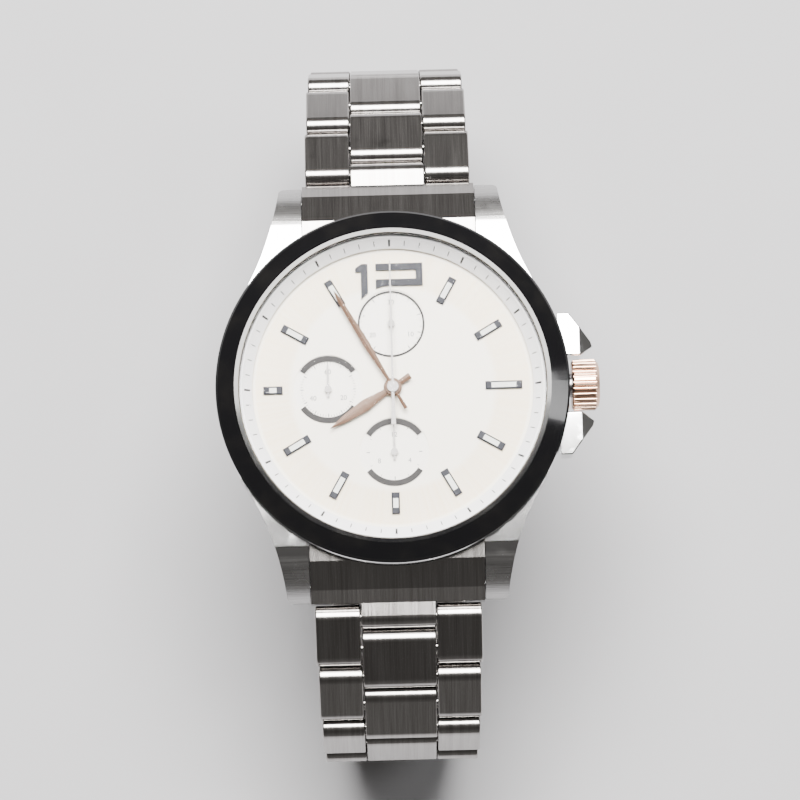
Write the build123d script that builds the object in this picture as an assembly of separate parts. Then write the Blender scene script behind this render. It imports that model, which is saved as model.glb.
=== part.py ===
from build123d import *
import math
import os

# Chronograph wristwatch on a three-row steel bracelet, closed round as it is on a wrist or a cushion.
#
# Frame, in millimetres: origin at the centre of the case back's outer face, +Z out through the dial,
# +Y to twelve o'clock and +X to three o'clock, where the crown is.

# ---------------------------------------------------------------- driving dimensions

CASE_R = 22.2  # outside radius of the case band
BEZEL_R = 22.1  # outside radius of the bezel
LUG_GAP = 22.0  # width between the lugs
LUG_TIP_Y = 26.4  # half of the lug-to-lug length
CRYSTAL_R = 19.1  # clear radius over the dial
DIAL_R = 18.2  # dial blank, and the movement ring behind it
MOVEMENT_R = 13.0  # main plate
LINK_PITCH = 8.0  # hinge to hinge along the bracelet
LINK_HALF_T = 1.5  # half of a link's thickness, and the radius of its rounded ends
LINK_SLOPES = (25, 40, 72, 100, 126, 150, 170)  # each link's slope below level, outwards from the lug
CROWN_Z = 5.2  # height of the crown, stem and pushers above the case back

# heights of the stack, from the case back upwards
BACK_FLANGE_Z = 1.5
MAIN_PLATE_Z = (4.4, 6.7)
DIAL_Z = (6.8, 7.2)
REHAUT_Z = (7.52, 9.0)
CRYSTAL_Z = (9.05, 10.55)
CASE_TOP_Z = 8.05
NECK_TOP_Z = 9.75
BEZEL_TOP_Z = 10.4

GAP = 0.05  # clearance between fitted pieces
RUN = 0.05  # radial running clearance of a shaft

# dial layout
SUBDIAL_OFFSET = 8.1
SUBDIAL_R = 4.35
SUBDIALS = {
    "twelve": (0.0, SUBDIAL_OFFSET),
    "nine": (-SUBDIAL_OFFSET, 0.0),
    "six": (0.0, -SUBDIAL_OFFSET),
}
MARKER_IN, MARKER_OUT = 12.2, 15.8
MARKER_W = 1.0
MARKER_SPANS = {3: (11.6, 16.2), 6: (13.2, 15.9), 9: (13.8, 16.2)}  # hours whose baton is cut to length
TIME_SHOWN = (7, 55)

# hands: bottom face of each blade
SMALL_HAND_Z = 7.45
HOUR_HAND_Z = 7.8
MINUTE_HAND_Z = 8.15
CHRONO_HAND_Z = 8.5

# motion work under the dial
TEETH_CANNON, TEETH_MINUTE, TEETH_PINION, TEETH_HOUR = 12, 36, 10, 40
MOTION_CENTRES = 3.84
MINUTE_WHEEL_AT = (-MOTION_CENTRES / math.sqrt(2), -MOTION_CENTRES / math.sqrt(2))

# movement pieces seen from the back
BARREL_AT, BARREL_R = (4.0, 5.2), 4.8
BALANCE_AT, BALANCE_R = (0.5, -6.4), 3.9
BRIDGE_FEET = ((-6.6, 6.6), (9.6, 2.7), (-2.6, 9.3))
COCK_FOOT = (-6.5, -6.3)
SCREWS_AT = (*BRIDGE_FEET, COCK_FOOT)
BRIDGE_Z = (2.1, 3.0)
ROTOR_R = 12.4
ROTOR_SPOKES = (-20, -90, -160)  # degrees

# crown and pushers
CROWN_R = 3.2
CROWN_X = (22.45, 25.9)
CROWN_FLUTES = 28
STEM_R = 0.5
TUBE_R = 1.5
PUSHER_Y = 5.9
PUSHER_TRAVEL = 0.8
PUSHER_HALF_H = 1.9

# bracelet
END_HINGE = (28.2, 2.0)  # y, z of the first hinge
FIRST_WIDTH, LAST_WIDTH = 21.4, 18.2
FIRST_CENTRE, LAST_CENTRE = 9.4, 8.2
END_GAP = 0.1  # between the rounded ends of neighbouring links
SIDE_GAP = 0.08
PIN_R = 0.5
LUG_BAR_Y, LUG_BAR_Z = 24.4, 2.7  # spring bar across the lugs
CLASP_BAR_R = 0.75  # spring bar between the last link and the clasp
LINKS = len(LINK_SLOPES)

# clasp
WALL_T = 0.9
WALL_GAP = 0.2
FOLD_Y, FOLD_Z = 15.6, -33.75  # hinge between the two blades
COVER_HINGE_Y, COVER_HINGE_Z = -18.6, -35.2  # hinge between outer blade and cover
COVER_FLOOR_Z = (-37.4, -36.4)
CLASP_HALF_IN = LAST_WIDTH / 2 + WALL_GAP
CLASP_HALF_OUT = CLASP_HALF_IN + WALL_T
BLADE_W = 12.0
BLADE_T = 0.8
BLADE_IN_Z = -33.0  # middle of the inner blade
BLADE_OUT_Z = -34.7  # middle of the outer blade
KNUCKLE_R = 1.05
FOLD_PIN_R = 0.4
BUTTON_Y = (9.5, 14.5)
BUTTON_Z = (-35.2, -33.9)


# ---------------------------------------------------------------- helpers


def ring(r_out, r_in, z0, z1):
    """A tube about Z."""
    body = Pos(0, 0, z0) * extrude(Circle(r_out) - Circle(r_in), z1 - z0)
    return body


def disc(r, z0, z1, at=(0, 0)):
    """A cylinder about a line parallel to Z."""
    return Pos(at[0], at[1], z0) * extrude(Circle(r), z1 - z0)


def rod_x(r, x0, x1, y, z):
    """A cylinder along X."""
    return Pos(x0, y, z) * Rot(0, 90, 0) * extrude(Circle(r), x1 - x0)


def block(x0, x1, y0, y1, z0, z1):
    """A box given by its faces."""
    return Pos((x0 + x1) / 2, (y0 + y1) / 2, (z0 + z1) / 2) * Box(x1 - x0, y1 - y0, z1 - z0)


def corners(*points):
    """A closed outline of straight lines."""
    return Polyline(*points, close=True)


def chain(*pieces):
    """A closed outline of lines and arcs given in order."""
    return Curve() + list(pieces)


def turned(outline):
    """A solid of revolution about Z from an outline in (radius, z)."""
    return revolve(make_face(Plane.XZ * outline), Axis.Z)


def flat_shape(outline, z0, z1):
    """A plate with an outline in (x, y)."""
    return Pos(0, 0, z0) * extrude(make_face(outline), z1 - z0, dir=(0, 0, 1))


def side_shape(outline, x0, x1):
    """A bar along X with an outline in (y, z)."""
    return Pos(x0, 0, 0) * extrude(make_face(Plane.YZ * outline), x1 - x0, dir=(1, 0, 0))


def front_shape(outline, y0, y1):
    """A bar along Y with an outline in (x, z)."""
    return Pos(0, y1, 0) * extrude(make_face(Plane.XZ * outline), y1 - y0, dir=(0, -1, 0))


def eased(solid, edges, radius):
    """The solid with those edges rounded, or as it was where the kernel can't round them."""
    try:
        rounded = fillet(edges, radius)
    except Exception:
        return solid
    return rounded if rounded.is_valid and rounded.volume > 0 else solid


def rounded_bar(u0, u1, x0, x1, edge):
    """A link plate: flat bar with half-round ends, from u0 to u1 along Y and x0 to x1 across."""
    r = LINK_HALF_T
    low, high = u0 + r, u1 - r
    outline = chain(
        Line((low, -r), (high, -r)),
        ThreePointArc((high, -r), (u1, 0), (high, r)),
        Line((high, r), (low, r)),
        ThreePointArc((low, r), (u0, 0), (low, -r)),
    )
    bar = side_shape(outline, x0, x1)
    rims = [e for e in bar.edges() if e.bounding_box().size.X < 1e-6]
    return eased(bar, rims, edge)


def gear(teeth, module, z0, z1, phase):
    """A straight-flanked gear about Z. One tooth points at phase degrees."""
    pitch_r = teeth * module / 2
    tip, root = pitch_r + 0.75 * module, pitch_r - 1.15 * module
    step = 2 * math.pi / teeth
    points = []
    for k in range(teeth):
        middle = math.radians(phase) + k * step
        for radius, share in ((root, -0.32), (tip, -0.11), (tip, 0.11), (root, 0.32)):
            angle = middle + share * step
            points.append((radius * math.cos(angle), radius * math.sin(angle)))
    return flat_shape(corners(*points), z0, z1)


def clock_turn(degrees):
    """A turn clockwise from twelve o'clock."""
    return Rot(0, 0, -degrees)


def joined(parts):
    """One solid from pieces that overlap."""
    whole = parts[0]
    for other in parts[1:]:
        whole = whole + other
    return whole


nodes = {}


def node(name, *solids):
    """Files one or more separate solids under a node's name."""
    nodes[name] = list(solids)


# ---------------------------------------------------------------- case


def lug(side):
    """The lug at plus X, side +1 for twelve o'clock: what its outlines from above and the side share."""
    x_in = LUG_GAP / 2
    tip_x, foot = x_in + 2.9, (19.3, 11.0)
    plan = chain(
        Line((x_in, 10), (x_in, LUG_TIP_Y)),
        Line((x_in, LUG_TIP_Y), (tip_x - 0.7, LUG_TIP_Y)),
        ThreePointArc((tip_x - 0.7, LUG_TIP_Y), (tip_x - 0.2, LUG_TIP_Y - 0.25), (tip_x, LUG_TIP_Y - 0.9)),
        ThreePointArc((tip_x, LUG_TIP_Y - 0.9), (15.6, 18.4), foot),
        Line(foot, (17, 10)),
        Line((17, 10), (x_in, 10)),
    )
    top_view = flat_shape(plan, -2, 9)
    outline = chain(
        Line((10, 1.6), (10, 7.7)),
        Line((10, 7.7), (19.6, 7.7)),
        ThreePointArc((19.6, 7.7), (24.0, 5.9), (LUG_TIP_Y + 0.1, 2.6)),
        ThreePointArc((LUG_TIP_Y + 0.1, 2.6), (LUG_TIP_Y + 0.2, 1.2), (LUG_TIP_Y - 1.0, 0.3)),
        ThreePointArc((LUG_TIP_Y - 1.0, 0.3), (21.0, 0.9), (10, 1.6)),
    )
    horn = side_shape(outline, 0, 20) & top_view
    horn = eased(horn, [e for e in horn.edges() if e.center().X > x_in + 1.2 and e.center().Y > 14], 0.45)
    return horn if side > 0 else mirror(horn, Plane.XZ)


def pusher_plan(side, grow=0.0):
    """Outline of a pusher's wedge seen from above: its corner stands out beside the crown."""
    near, far = CROWN_R + 0.35, PUSHER_Y + 3.1
    wedge = [(20.9, near), (23.6, near), (25.2, near + 1.1), (25.0, near + 1.8), (22.3, far), (20.9, far)]
    mid_x, mid_y = 22.5, (near + far) / 2
    grown = []
    for x, y in wedge:
        grown.append((x + math.copysign(grow, x - mid_x), y + math.copysign(grow, y - mid_y)))
    return corners(*[(x, side * y) for x, y in grown])


def case_middle():
    outline = chain(
        Line((DIAL_R + 0.35, BACK_FLANGE_Z + GAP), (20.5, BACK_FLANGE_Z + GAP)),
        ThreePointArc((20.5, BACK_FLANGE_Z + GAP), (21.8, 2.7), (CASE_R, 4.4)),
        Line((CASE_R, 4.4), (CASE_R, 7.2)),
        ThreePointArc((CASE_R, 7.2), (22.05, 7.75), (21.6, CASE_TOP_Z)),
        Line((21.6, CASE_TOP_Z), (20.3, CASE_TOP_Z)),
        Line((20.3, CASE_TOP_Z), (20.3, NECK_TOP_Z)),
        Line((20.3, NECK_TOP_Z), (19.55, NECK_TOP_Z)),
        Line((19.55, NECK_TOP_Z), (19.55, REHAUT_Z[1] + 0.02)),
        Line((19.55, REHAUT_Z[1] + 0.02), (19.08, REHAUT_Z[1] + 0.02)),
        Line((19.08, REHAUT_Z[1] + 0.02), (19.08, 7.5)),
        Line((19.08, 7.5), (17.9, 7.5)),
        Line((17.9, 7.5), (17.9, DIAL_Z[1] + 0.02)),
        Line((17.9, DIAL_Z[1] + 0.02), (DIAL_R + 0.1, DIAL_Z[1] + 0.02)),
        Line((DIAL_R + 0.1, DIAL_Z[1] + 0.02), (DIAL_R + 0.1, 3.4)),
        Line((DIAL_R + 0.1, 3.4), (DIAL_R + 0.35, 3.4)),
        Line((DIAL_R + 0.35, 3.4), (DIAL_R + 0.35, BACK_FLANGE_Z + GAP)),
    )
    band = turned(outline)
    core = disc(21.0, -3, 12)
    for side in (1, -1):
        for hand in (1, -1):
            horn = lug(side)
            if hand < 0:
                horn = mirror(horn, Plane.YZ)
            band = band + (horn - core)
    band = band - ring(19.65, 18.65, BACK_FLANGE_Z, 2.0)
    band = band - rod_x(TUBE_R + 0.02, 17, 24, 0, CROWN_Z)
    band = band - rod_x(CROWN_R + 0.25, 21.9, 24, 0, CROWN_Z)
    for side in (1, -1):
        half_h = PUSHER_HALF_H + 0.1
        pocket = flat_shape(pusher_plan(side, 0.1), CROWN_Z - half_h, CROWN_Z + half_h)
        depth = block(19.95, 30, -30, 30, 0, 12)
        reach = Pos(-PUSHER_TRAVEL - 0.1, 0, 0) * pocket
        band = band - (reach & depth)
        band = band - rod_x(0.65, 17, 21, side * PUSHER_Y, CROWN_Z)
        for hand in (1, -1):
            x0 = LUG_GAP / 2 - 0.1
            hole = rod_x(0.45, x0, x0 + 1.6, side * LUG_BAR_Y, LUG_BAR_Z)
            if hand < 0:
                hole = mirror(hole, Plane.YZ)
            band = band - hole
    return band


def bezel():
    outline = corners(
        (20.35, CASE_TOP_Z + 0.02),
        (21.75, CASE_TOP_Z + 0.02),
        (BEZEL_R, CASE_TOP_Z + 0.35),
        (BEZEL_R, 9.35),
        (21.85, 9.6),
        (19.75, BEZEL_TOP_Z),
        (19.25, BEZEL_TOP_Z),
        (19.2, BEZEL_TOP_Z - 0.15),
        (19.2, NECK_TOP_Z + 0.3),
        (20.35, NECK_TOP_Z + 0.02),
    )
    return turned(outline)


def crystal():
    low, high = CRYSTAL_Z
    edge = [(CRYSTAL_R, low), (CRYSTAL_R, high - 0.25), (CRYSTAL_R - 0.3, high)]
    return turned(corners((0, low), *edge, (0, high)))


def rehaut_ring():
    low, high = REHAUT_Z
    return turned(corners((17.6, low), (19.03, low), (19.03, high), (18.8, high), (17.6, low + 0.25)))


def case_back():
    """Screw-down back with a recessed centre and six key slots."""
    boss_r = DIAL_R + 0.3
    outline = corners(
        (0, 0.12),
        (12.5, 0.12),
        (12.7, 0),
        (19.4, 0),
        (20.2, 0.5),
        (20.2, BACK_FLANGE_Z),
        (boss_r, BACK_FLANGE_Z),
        (boss_r, 3.2),
        (17.4, 3.2),
        (17.4, 0.85),
        (0, 0.85),
    )
    back = turned(outline)
    slot = block(16.6, 21, -1.3, 1.3, -0.1, 0.45)
    for k in range(6):
        back = back - Rot(0, 0, 60 * k + 30) * slot
    return back


# ---------------------------------------------------------------- dial and hands


def dial():
    plate = disc(DIAL_R, *DIAL_Z) - disc(0.95, 6, 8)
    for at in SUBDIALS.values():
        plate = plate - disc(SUBDIAL_R, DIAL_Z[1] - 0.12, 8, at) - disc(0.3, 6, 8, at)
    return plate


def marker_span(hour):
    return MARKER_SPANS.get(hour, (MARKER_IN, MARKER_OUT))


def hour_marker(hour):
    """A raised baton with a sunk centre for its pale filling."""
    low, high = marker_span(hour)
    half = MARKER_W / 2
    baton = block(-half, half, low, high, DIAL_Z[1], DIAL_Z[1] + 0.4)
    top = [e for e in baton.edges() if abs(e.center().Z - DIAL_Z[1] - 0.4) < 1e-6]
    baton = chamfer(top, 0.12)
    baton = baton - marker_filling(hour, 1.0)
    return clock_turn(30 * hour) * baton


def marker_filling(hour, top=0.38):
    low, high = marker_span(hour)
    end = 0.75
    half = MARKER_W / 2 - 0.18
    return block(-half, half, low + end, high - end, DIAL_Z[1] + 0.15, DIAL_Z[1] + top)


def numeral_twelve():
    """Squared figures 1 and 2, cut away where the upper counter comes through them."""
    stroke, top, foot = 0.85, 15.75, 10.9
    left, right = -1.8, 4.1
    middle = (top + foot) / 2 + stroke / 2
    low, high = DIAL_Z[1], DIAL_Z[1] + 0.35
    flag = corners((-3.6, top), (-3.6, top - 1.0), (-4.35, top - 1.0), (-4.35, top - 0.55))
    one = block(-3.65, -3.65 + stroke, foot, top, low, high) + flat_shape(flag, low, high)
    two = joined(
        [
            block(left, right, top - stroke, top, low, high),
            block(right - stroke, right, middle - stroke, top, low, high),
            block(left, right, middle - stroke, middle, low, high),
            block(left, left + stroke, foot, middle, low, high),
        ]
    )
    window = disc(SUBDIAL_R + 0.5, 6, 9, SUBDIALS["twelve"])
    kept = []
    for figure in (one, two):
        kept.extend((figure - window).solids())
    return kept


def counter_arcs():
    """Raised arcs over and under the counters at nine and six, and a fine full ring at twelve."""
    low = DIAL_Z[1] - 0.12
    arcs = []
    for name in ("nine", "six"):
        x, y = SUBDIALS[name]
        band = ring(4.25, 3.55, low, low + 0.2)
        for middle in (0, 180):
            half_angle = math.radians(55)
            reach = 9.0
            across = reach * math.tan(half_angle)
            wedge = flat_shape(corners((0, 0), (-across, reach), (across, reach)), 0, 12)
            arcs.append(Pos(x, y, 0) * (band & (Rot(0, 0, middle) * wedge)))
    x, y = SUBDIALS["twelve"]
    arcs.append(Pos(x, y, 0) * ring(4.2, 3.95, low, low + 0.12))
    return arcs


def blade(length, tail, width, z, thick=0.15, hub=1.0):
    """A tapering hand with a pointed tip and a short tail."""
    w = width / 2
    outline = corners(
        (0, length),
        (w * 0.62, length - 1.6 * width),
        (w, length * 0.45),
        (w * 0.55, 0),
        (w * 0.6, -tail),
        (-w * 0.6, -tail),
        (-w * 0.55, 0),
        (-w, length * 0.45),
        (-w * 0.62, length - 1.6 * width),
    )
    return flat_shape(outline, z, z + thick) + disc(hub, z, z + thick)


def hour_hand():
    hours, minutes = TIME_SHOWN
    hand = blade(9.4, 2.6, 1.3, HOUR_HAND_Z, hub=1.15) - disc(0.75, 6, 9)
    return clock_turn(30 * hours + minutes / 2) * hand


def minute_hand():
    hand = blade(14.2, 3.2, 1.15, MINUTE_HAND_Z) - disc(0.45, 6, 9)
    return clock_turn(6 * TIME_SHOWN[1]) * hand


def chronograph_hand():
    z = CHRONO_HAND_Z
    outline = corners((-0.07, 15.9), (0.07, 15.9), (0.14, 0), (0.3, -4.8), (-0.3, -4.8), (-0.14, 0))
    needle = flat_shape(outline, z, z + 0.1)
    return joined([needle, disc(0.7, z, z + 0.22), disc(0.16, 4.9, z)])


def small_hand(name, degrees):
    x, y = SUBDIALS[name]
    z = SMALL_HAND_Z
    outline = corners((-0.06, 3.3), (0.06, 3.3), (0.16, 0), (0.12, -1.0), (-0.12, -1.0), (-0.16, 0))
    needle = flat_shape(outline, z, z + 0.1)
    hand = joined([needle, disc(0.45, z, z + 0.2), disc(0.16, 4.9, z)])
    return Pos(x, y, 0) * clock_turn(degrees) * hand


# ---------------------------------------------------------------- movement


def movement_ring():
    """Plastic ring that centres the movement in the case."""
    body = ring(DIAL_R, MOVEMENT_R + GAP, 3.25, DIAL_Z[0] - 0.02)
    body = body + ring(DIAL_R, 12.2, 3.7, MAIN_PLATE_Z[0] - 0.02)
    body = body - rod_x(0.9, 12, 19, 0, CROWN_Z)
    for side in (1, -1):
        body = body - rod_x(0.9, 10, 19, side * PUSHER_Y, CROWN_Z)
    return body


def main_plate():
    low, high = MAIN_PLATE_Z
    plate = disc(MOVEMENT_R, low, high)
    plate = plate - disc(3.6, 5.5, 7) - disc(3.4, 5.5, 7, MINUTE_WHEEL_AT)
    for at in [(0, 0), *SUBDIALS.values()]:
        plate = plate - disc(0.22, 4.8, 7, at)
    plate = plate - rod_x(STEM_R + RUN, 6.4, 14, 0, CROWN_Z)
    plate = plate - block(9.3, 11.6, -0.3, 0.3, 4, 5)
    for at in SCREWS_AT:
        plate = plate - disc(0.42, 4.0, 5.6, at)
    plate = plate - disc(0.3, 4.0, 4.9, BARREL_AT) - disc(0.2, 4.0, 4.9, BALANCE_AT)
    return plate


def capsule(a, b, half, z0, z1):
    """A flat bar with round ends between two points."""
    dx, dy = b[0] - a[0], b[1] - a[1]
    long = math.hypot(dx, dy)
    nx, ny = -dy / long * half, dx / long * half
    outline = corners(
        (a[0] + nx, a[1] + ny),
        (b[0] + nx, b[1] + ny),
        (b[0] - nx, b[1] - ny),
        (a[0] - nx, a[1] - ny),
    )
    bar = flat_shape(outline, z0, z1)
    return joined([bar, disc(half, z0, z1, a), disc(half, z0, z1, b)])


def train_bridge():
    """Bridge over the barrel and the centre, on three feet."""
    low, high = BRIDGE_Z
    cover = disc(10.4, low, high) & block(-12, 12, -1.9, 12, 0, 5)
    for at in BRIDGE_FEET:
        cover = cover + disc(0.9, high, MAIN_PLATE_Z[0], at)
    for at in BRIDGE_FEET:
        cover = cover - disc(0.42, 1, 5, at) - disc(0.75, 1, low + 0.35, at)
    cover = cover - disc(0.55, 1, 4) - disc(0.3, 2.6, 4, BARREL_AT)
    return cover


def balance_cock():
    low, high = BRIDGE_Z
    arm = capsule(BALANCE_AT, COCK_FOOT, 1.5, low, high) - block(-12, 12, -1.95, 12, 0, 5)
    arm = arm + disc(1.3, high, MAIN_PLATE_Z[0], COCK_FOOT)
    arm = arm - disc(0.42, 1, 5, COCK_FOOT) - disc(0.75, 1, low + 0.35, COCK_FOOT)
    return arm - disc(0.2, 2.5, 4, BALANCE_AT)


def bridge_screw(at):
    low = BRIDGE_Z[0]
    screw = disc(0.7, low - 0.05, low + 0.33, at) + disc(0.38, low + 0.33, 5.4, at)
    x, y = at
    return screw - block(x - 1, x + 1, y - 0.1, y + 0.1, low - 0.1, low + 0.1)


def mainspring_barrel():
    drum = Pos(*BARREL_AT, 0) * gear(72, 0.13, 3.15, 3.5, 0)
    return joined([drum, disc(BARREL_R - 0.55, 3.5, 4.3, BARREL_AT), disc(0.25, 2.7, 4.8, BARREL_AT)])


def balance_wheel():
    """Rim on three arms, with its staff and roller."""
    z0, z1 = 3.45, 3.85
    rim = ring(BALANCE_R, BALANCE_R - 0.55, z0, z1)
    arm = block(0, BALANCE_R - 0.3, -0.18, 0.18, z0 + 0.05, z1 - 0.05)
    arms = [Rot(0, 0, 120 * k) * arm for k in range(3)]
    wheel = joined([rim, *arms, disc(0.5, z0, z1 + 0.25), disc(0.14, 2.6, 4.8)])
    return Pos(*BALANCE_AT, 0) * wheel


def hairspring():
    """Flat spiral of half-round turns above the balance arms, from its collet outwards."""
    half, step, start, turns = 0.035, 0.32, 0.55, 14
    lanes = []
    for offset in (half, -half):
        lane = []
        for k in range(turns):
            r = start + step * k / 2
            centre = step / 2 * (k % 2)
            sign = 1 if k % 2 == 0 else -1
            wide = r + offset
            ends = ((centre + sign * wide, 0), (centre, sign * wide), (centre - sign * wide, 0))
            lane.append(ThreePointArc(*ends))
        lanes.append(lane)
    outer, inner = lanes
    caps = [Line(outer[-1] @ 1, inner[-1] @ 1), Line(outer[0] @ 0, inner[0] @ 0)]
    return Pos(*BALANCE_AT, 0) * flat_shape(chain(*outer, *inner, *caps), 3.15, 3.35)


def rotor():
    """Half-round winding weight with a heavy rim, swinging on the bridge."""
    half_plane = block(-13, 13, -13, 0, 0, 4)
    plate = (disc(ROTOR_R, 1.1, 1.5) & half_plane) - disc(9.2, 0, 2) + disc(2.4, 1.1, 1.5)
    spokes = [Rot(0, 0, degrees) * capsule((0, 0), (9.6, 0), 0.8, 1.1, 1.5) for degrees in ROTOR_SPOKES]
    rim = ring(ROTOR_R, 10.8, 1.5, 2.4) & half_plane
    weight = joined([plate, *spokes, rim, disc(0.5, 1.5, 2.9)])
    return weight - disc(0.3, 0.5, 1.3)


def cannon_pinion():
    toothed = gear(TEETH_CANNON, 0.16, 5.65, 6.25, 225)
    return joined([toothed, disc(0.45, 5.65, MINUTE_HAND_Z + 0.15)]) - disc(0.22, 5, 9)


def minute_wheel():
    wheel = gear(TEETH_MINUTE, 0.16, 5.65, 5.95, 45 + 180 / TEETH_MINUTE)
    pinion = gear(TEETH_PINION, 2 * MOTION_CENTRES / 50, 5.95, 6.62, 45)
    return Pos(*MINUTE_WHEEL_AT, 0) * (wheel + pinion - disc(0.25, 5, 7))


def hour_wheel():
    wheel = gear(TEETH_HOUR, 2 * MOTION_CENTRES / 50, 6.36, 6.6, 225 + 180 / TEETH_HOUR)
    return joined([wheel, disc(0.75, 6.36, HOUR_HAND_Z + 0.15)]) - disc(0.5, 6, 9)


def setting_lever():
    """Lever whose pin rides in the stem's groove, so that it follows the stem in and out."""
    plate = block(8.9, 10.6, -2.4, 0.7, 3.6, 4.35)
    return plate + disc(0.2, 4.35, 4.85, (9.8, 0))


# ---------------------------------------------------------------- crown and pushers


def winding_stem():
    stem = rod_x(STEM_R, 6.6, 24.95, 0, CROWN_Z)
    groove = rod_x(1.0, 9.5, 10.1, 0, CROWN_Z) - rod_x(0.3, 9.5, 10.1, 0, CROWN_Z)
    return stem - groove


def crown():
    low, high = CROWN_X
    rim = CROWN_R - 0.3
    outline = corners(
        (0, low),
        (rim, low),
        (CROWN_R, low + 0.3),
        (CROWN_R, high - 0.55),
        (2.75, high - 0.1),
        (2.5, high - 0.1),
        (2.4, high),
        (1.9, high),
        (1.8, high - 0.12),
        (0, high - 0.12),
    )
    body = turned(outline)
    for k in range(CROWN_FLUTES):
        body = body - Rot(0, 0, 360 / CROWN_FLUTES * k) * disc(0.22, low - 1, high + 1, (CROWN_R + 0.06, 0))
    body = body - disc(TUBE_R + 0.15, low - 1, 24.35) - disc(STEM_R, 24, 24.95)
    return Pos(0, 0, CROWN_Z) * Rot(0, 90, 0) * body


def crown_tube():
    return rod_x(TUBE_R, 18.35, 24.1, 0, CROWN_Z) - rod_x(STEM_R + RUN, 17, 25, 0, CROWN_Z)


def pusher(side):
    """Wedge-shaped cap in its pocket, hollow for the spring, on a stem that reaches the movement."""
    y = side * PUSHER_Y
    cap = flat_shape(pusher_plan(side), CROWN_Z - PUSHER_HALF_H, CROWN_Z + PUSHER_HALF_H)
    bevel = corners((22.2, 2.0), (22.2, 2.5), (26, 0.75), (26, 2.5))
    for turn in (0, 180):
        cap = cap - Pos(0, 0, CROWN_Z) * Rot(turn, 0, 0) * front_shape(bevel, -12, 12)
    cap = eased(cap, [e for e in cap.edges() if e.center().X > 21.4], 0.2)
    cap = cap - rod_x(1.25, 20, 22.7, y, CROWN_Z)
    return cap + rod_x(0.55, 14.5, 23, y, CROWN_Z)


def pusher_spring(side):
    """Coil spring round the pusher's stem, between the pocket and the cap."""
    wire, coil, length = 0.13, 0.9, 2.3
    path = Helix(pitch=0.46, height=length, radius=coil)
    section = Plane(origin=path @ 0, z_dir=path % 0) * Circle(wire)
    spring = sweep(section, path)
    return Pos(20.15, side * PUSHER_Y, CROWN_Z) * Rot(0, 90, 0) * spring


# ---------------------------------------------------------------- bracelet


def hinge_line():
    """The (y, z) of every hinge from the lug round to the clasp."""
    points = [END_HINGE]
    for slope in LINK_SLOPES:
        y, z = points[-1]
        points.append(
            (y + LINK_PITCH * math.cos(math.radians(slope)), z - LINK_PITCH * math.sin(math.radians(slope)))
        )
    return points


HINGES = hinge_line()
END_Y, END_Z = HINGES[-1]


def share(first, last, i):
    """A size that tapers evenly from the end link, i = 0, to the clasp."""
    return first + (last - first) * i / LINKS


def placed(solid, i, side):
    """A link's solid moved from its own frame, hinge at the origin and pointing along +Y, to its place."""
    y, z = HINGES[i]
    moved = Pos(0, y, z) * Rot(-LINK_SLOPES[i], 0, 0) * solid
    return moved if side > 0 else Rot(0, 0, 180) * moved


def link_solids(i, side):
    """Two outer plates, a centre plate, the hinge pin and the pin that ties the three together."""
    r, p = LINK_HALF_T, LINK_PITCH
    width = share(FIRST_WIDTH, LAST_WIDTH, i + 1)
    inner = share(FIRST_CENTRE, LAST_CENTRE, i) / 2 + SIDE_GAP
    centre = share(FIRST_CENTRE, LAST_CENTRE, i + 1) / 2
    last = i == LINKS - 1
    fixed_u = p / 2 + 0.2
    end = width / 2 - 0.08
    driver_slot = block(end - 0.22, end + 1, -1, 1, -0.09, 0.09)
    pin = rod_x(PIN_R, -end, end, 0, 0) - driver_slot
    pins = [pin, Pos(0, fixed_u, 0) * pin]
    hinge_bore = rod_x(PIN_R + RUN, -15, 15, 0, 0)
    fixed_bore = rod_x(PIN_R + 0.01, -15, 15, fixed_u, 0)
    next_bore = rod_x(PIN_R + RUN, -15, 15, p, 0)
    outer_end = p - r - END_GAP
    outer = rounded_bar(-r, outer_end, inner, width / 2, 0.22) - hinge_bore - fixed_bore
    plates = [outer, mirror(outer, Plane.YZ)]
    middle = rounded_bar(r + END_GAP, p + r, -centre, centre, 0.16)
    if last and side > 0:
        half = width / 2 - 0.1
        barrel = rod_x(r, -half, half, p, 0)
        middle = middle + barrel
        next_bore = rod_x(CLASP_BAR_R + 0.02, -15, 15, p, 0)
    plates.append(middle - fixed_bore - next_bore)
    return [placed(s, i, side) for s in (*plates, *pins)]


def end_link(side):
    """Solid end piece: hollowed to the case, filling the lug gap, with a tongue out to the first hinge."""
    half_gap = LUG_GAP / 2 - 0.1
    y0, z0 = END_HINGE
    end = y0 - LINK_HALF_T - END_GAP
    upper = [(18.5, 7.0), (21.5, 6.9), (25.0, 5.0), (end, 3.5)]
    lower = [(end, 0.9), (24.0, 1.1), (18.5, 1.2)]
    body = side_shape(corners(*upper, *lower), -half_gap, half_gap)
    centre = FIRST_CENTRE / 2
    tongue = Pos(0, y0, z0) * rounded_bar(-LINK_HALF_T - 3.0, LINK_HALF_T, -centre, centre, 0.16)
    body = body + tongue
    case_clear = ring(CASE_R + 0.06, 10, -5, 15)
    bore = rod_x(0.92, -15, 15, LUG_BAR_Y, LUG_BAR_Z)
    hinge_bore = rod_x(PIN_R + RUN, -15, 15, y0, z0)
    body = body - case_clear - bore - hinge_bore
    return body if side > 0 else Rot(0, 0, 180) * body


def lug_spring_bar(side):
    """Spring bar across the lugs: a barrel with a fine tip sprung out at each end."""
    half = LUG_GAP / 2
    y, z = side * LUG_BAR_Y, LUG_BAR_Z
    barrel = rod_x(0.85, -half + 0.35, half - 0.35, y, z)
    return barrel + rod_x(0.38, -half - 0.9, half + 0.9, y, z)


# ---------------------------------------------------------------- clasp


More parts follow.
